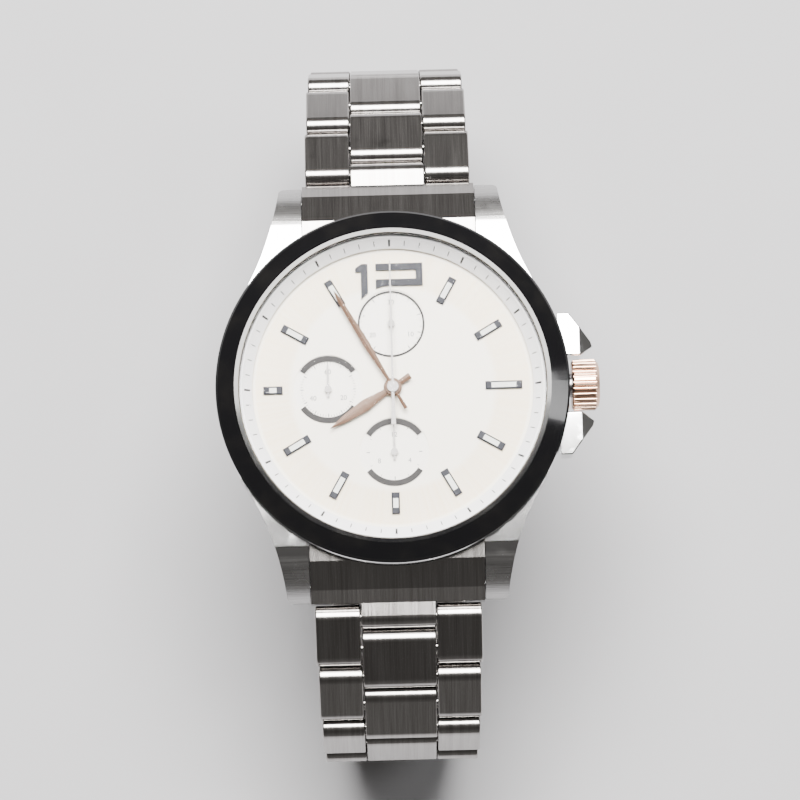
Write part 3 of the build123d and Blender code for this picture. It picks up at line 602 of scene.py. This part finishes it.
pusher_polish, shader, place = new_finish("pusher_polish", Metallic=1.0)
rub = place.noise(700.0, 4.0)
feed(
    shader,
    Base_Color=rub.blended((0.84, 0.84, 0.84), (0.90, 0.90, 0.90)),
    Roughness=0.08 + rub.step(0.5, 0.8) * 0.08,
)
dress(pusher_polish, "pusher_top", "pusher_bottom", "clasp_button_left", "clasp_button_right")

STEM_Y, STEM_Z = 5.9, 5.2
SPRING_SEAT_X = 20.15
COIL_RADIUS, WIRE_RADIUS = 0.9, 0.13
COIL_TURNS, COIL_PITCH = 5, 0.44
STEPS_PER_TURN = 20


def return_spring(name, side):
    """Turns of wire round a cap's stem, fixed to the case."""
    seat = (SPRING_SEAT_X * MM, side * STEM_Y * MM, STEM_Z * MM)
    bpy.ops.object.select_all(action="DESELECT")
    bpy.ops.mesh.primitive_circle_add(
        vertices=10, radius=WIRE_RADIUS * MM, location=(0, COIL_RADIUS * MM, 0)
    )
    coil = bpy.context.object
    bpy.ops.object.transform_apply(location=True, rotation=True, scale=True)
    winding = coil.modifiers.new("winding", "SCREW")
    winding.axis = "X"
    winding.angle = math.radians(360)
    winding.screw_offset = COIL_PITCH * MM
    winding.iterations = COIL_TURNS
    winding.steps = STEPS_PER_TURN
    winding.render_steps = STEPS_PER_TURN
    bpy.ops.object.modifier_apply(modifier="winding")
    bpy.ops.object.mode_set(mode="EDIT")
    bpy.ops.mesh.select_all(action="SELECT")
    bpy.ops.mesh.fill_holes(sides=0)
    bpy.ops.mesh.select_all(action="SELECT")
    bpy.ops.mesh.normals_make_consistent(inside=False)
    bpy.ops.object.mode_set(mode="OBJECT")
    bpy.ops.object.shade_smooth_by_angle(angle=math.radians(50))
    coil.name = name
    coil.location = seat
    settle(coil, "case", spring_wire)
    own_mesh(coil)
    return coil


top_coil = return_spring("return_spring_top", 1)
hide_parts("pusher_spring_top")
bottom_coil = return_spring("return_spring_bottom", -1)
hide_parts("pusher_spring_bottom")

# ---------------------------------------------------------------- bracelet
# Three rows of solid steel plates, brushed along the bracelet. Their ends are rounded and catch
# the light. Pins pass right through, and show as small ends at the sides.


def brushed_steel(name, dark, light, rough):
    """Steel with streaks that run in the plane across X, so that they follow every link."""
    material, shader, place = new_finish(name, Metallic=1.0)
    fine = place.stretched(7600, 130, 130).noise(1.0, 2.0)
    broad = place.stretched(1500, 60, 60, (3, 1, 2)).noise(1.0, 2.0)
    wear = place.noise(300.0, 4.0)
    streak = fine * 0.6 + broad * 0.4
    feed(
        shader,
        Base_Color=streak.step(0.25, 0.75).blended(dark, light),
        Roughness=rough + streak * 0.12 - wear.step(0.6, 0.8) * 0.04,
        Normal=relief(streak, 0.35, 0.016),
    )
    return material


link_steel = brushed_steel(
    "link_steel", dark=(0.28, 0.268, 0.26), light=(0.40, 0.387, 0.378), rough=0.12
)
links = [f"link_{side}_{k}" for side in ("12", "6") for k in range(1, 8)]
dress(link_steel, "end_link_12", "end_link_6", *links)

# ---------------------------------------------------------------- clasp
# A folded steel cover over two stamped blades. The cover is brushed like the links, the blades
# are plainer, tumbled steel.

clasp_steel = brushed_steel(
    "clasp_steel", dark=(0.31, 0.30, 0.292), light=(0.44, 0.43, 0.42), rough=0.15
)
dress(clasp_steel, "clasp_cover")
blade_steel = brushed_steel(
    "blade_steel", dark=(0.36, 0.36, 0.37), light=(0.48, 0.48, 0.49), rough=0.3
)
dress(blade_steel, "clasp_blade_outer", "clasp_blade_inner")

# ---------------------------------------------------------------- floor, light and camera
# The watch stands on its closed clasp on a pale floor. One large soft light hangs above it,
# toward twelve, and a small weak one on the crown's side. The studio is darker overhead.

lowest = cad_box[0][2]
FLOOR_GAP = 0.05
bpy.ops.mesh.primitive_plane_add(size=4, location=(0, 0, lowest - FLOOR_GAP * MM))
floor = bpy.context.object
floor.name = "floor"
floor_colours = (0.375, 0.375, 0.39), (0.41, 0.41, 0.425)
floor_pale = mottled("floor_pale", (40.0, 3.0), floor_colours, (0.7, 0.8), Specular_IOR_Level=0.2)
floor.data.materials.append(floor_pale)

world = bpy.data.worlds.new("studio")
bpy.context.scene.world = world
world.use_nodes = True
tree = world.node_tree
sky = Wire(tree, tree.nodes.new("ShaderNodeTexCoord").outputs["Generated"])
above = sky.parts()[2].step(-0.1, 0.9)
dome = above.blended((0.33, 0.32, 0.31), (0.11, 0.105, 0.10))
tree.links.new(dome.socket, tree.nodes["Background"].inputs["Color"])
tree.nodes["Background"].inputs["Strength"].default_value = 0.8


def soft_light(name, place, wide, tall, power, tint):
    """A soft light of that width and height at that place, aimed at the dial."""
    lamp = bpy.data.lights.new(name, "AREA")
    lamp.shape = "RECTANGLE"
    lamp.size = wide
    lamp.size_y = tall
    lamp.energy = power
    lamp.color = tint
    holder = bpy.data.objects.new(name, lamp)
    bpy.context.scene.collection.objects.link(holder)
    holder.location = place
    holder.rotation_euler = (-Vector(place)).to_track_quat("-Z", "Y").to_euler()


soft_light(
    "overhead",
    place=(0.0, 0.33, 0.73),
    wide=0.62,
    tall=0.48,
    power=38.0,
    tint=(1.0, 0.98, 0.95),
)
soft_light(
    "crown_side",
    place=(0.46, 0.05, 0.62),
    wide=0.16,
    tall=0.24,
    power=1.2,
    tint=(1.0, 1.0, 1.0),
)

CAMERA_DISTANCE = 0.47
camera_data = bpy.data.cameras.new("camera")
camera_data.lens = 165
camera_data.sensor_width = 36
camera = bpy.data.objects.new("camera", camera_data)
bpy.context.scene.collection.objects.link(camera)
azimuth, elevation = math.radians(-1.5), math.radians(82)
back = Vector(
    (
        math.sin(azimuth) * math.cos(elevation),
        -math.cos(azimuth) * math.cos(elevation),
        math.sin(elevation),
    )
)
aim = Vector((0.9, 0.0, -4.0)) * MM
camera.location = aim + back * CAMERA_DISTANCE
camera.rotation_mode = "QUATERNION"
camera.rotation_quaternion = (-back).to_track_quat("-Z", "Y")
camera_data.clip_start = 0.01
camera_data.clip_end = 10
bpy.context.scene.camera = camera
